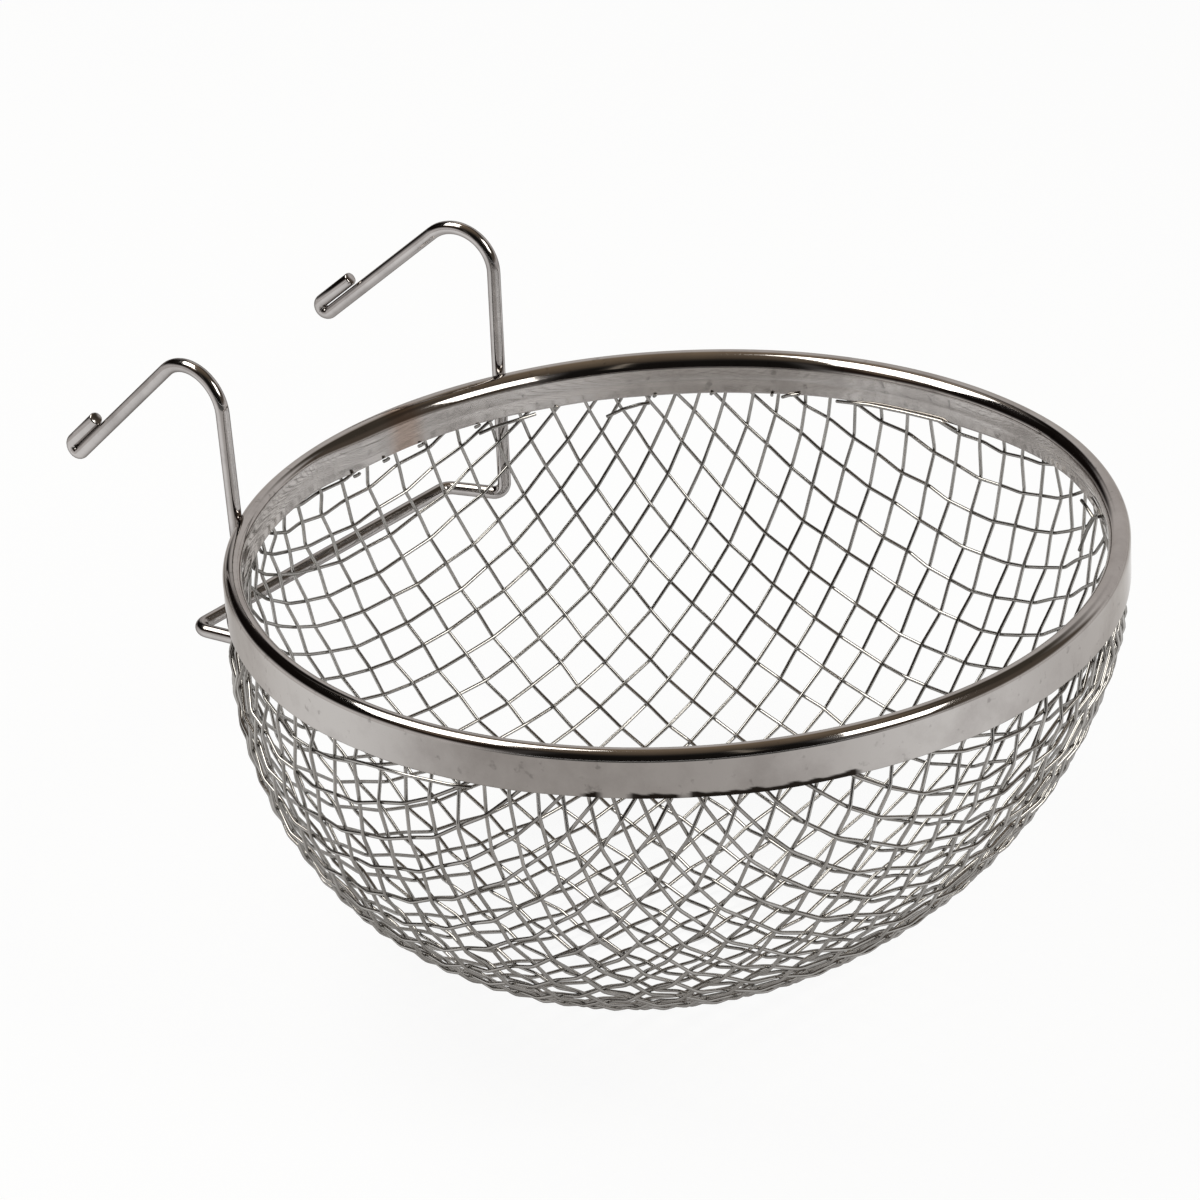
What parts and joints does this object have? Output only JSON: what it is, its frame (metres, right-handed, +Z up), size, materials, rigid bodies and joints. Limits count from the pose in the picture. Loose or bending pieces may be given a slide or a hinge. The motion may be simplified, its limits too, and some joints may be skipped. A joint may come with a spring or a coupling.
{
  "type": "bird nest pan",
  "caption": "Round bowl of woven plated-steel wire in a folded steel rim, with a bent-wire hanger whose hooks hold it on a cage bar so that a bird can nest in it.",
  "frame": {"origin": "midway between the two hooks, on the line along which a cage bar touches the underside of their bends", "axes": "+X along the cage bar and the crossbar, from one hook to the other; +Y away from the bowl, the way the hooks reach; +Z up, out of the bowl's mouth"},
  "size_m": [0.1202, 0.145, 0.0825],
  "materials": {
    "rim_plating": "bright nickel plate on folded sheet steel, with a faint heat tint at the weld",
    "cloth_plating": "bright nickel plate on woven steel wire",
    "hanger_plating": "bright plate on bent steel wire"
  },
  "bodies": {
    "root": {"rim_band": "rim_plating", "hanger_wire": "hanger_plating", "warp_wire_01": "cloth_plating", "warp_wire_02": "cloth_plating", "warp_wire_03": "cloth_plating", "warp_wire_04": "cloth_plating", "warp_wire_05": "cloth_plating", "warp_wire_06": "cloth_plating", "warp_wire_07": "cloth_plating", "warp_wire_08": "cloth_plating", "warp_wire_09": "cloth_plating", "warp_wire_10": "cloth_plating", "warp_wire_11": "cloth_plating", "warp_wire_12": "cloth_plating", "warp_wire_13": "cloth_plating", "warp_wire_14": "cloth_plating", "warp_wire_15": "cloth_plating", "warp_wire_16": "cloth_plating", "warp_wire_17": "cloth_plating", "warp_wire_18": "cloth_plating", "warp_wire_19": "cloth_plating", "warp_wire_20": "cloth_plating", "warp_wire_21": "cloth_plating", "warp_wire_22": "cloth_plating", "warp_wire_23": "cloth_plating", "warp_wire_24": "cloth_plating", "warp_wire_25": "cloth_plating", "warp_wire_26": "cloth_plating", "warp_wire_27": "cloth_plating", "weft_wire_01": "cloth_plating", "weft_wire_02": "cloth_plating", "weft_wire_03": "cloth_plating", "weft_wire_04": "cloth_plating", "weft_wire_05": "cloth_plating", "weft_wire_06": "cloth_plating", "weft_wire_07": "cloth_plating", "weft_wire_08": "cloth_plating", "weft_wire_09": "cloth_plating", "weft_wire_10": "cloth_plating", "weft_wire_11": "cloth_plating", "weft_wire_12": "cloth_plating", "weft_wire_13": "cloth_plating", "weft_wire_14": "cloth_plating", "weft_wire_15": "cloth_plating", "weft_wire_16": "cloth_plating", "weft_wire_17": "cloth_plating", "weft_wire_18": "cloth_plating", "weft_wire_19": "cloth_plating", "weft_wire_20": "cloth_plating", "weft_wire_21": "cloth_plating", "weft_wire_22": "cloth_plating", "weft_wire_23": "cloth_plating", "weft_wire_24": "cloth_plating", "weft_wire_25": "cloth_plating", "weft_wire_26": "cloth_plating", "weft_wire_27": "cloth_plating", "weft_wire_28": "cloth_plating", "weft_wire_29": "cloth_plating", "weft_wire_30": "cloth_plating", "weft_wire_31": "cloth_plating"}
  },
  "joints": []
}
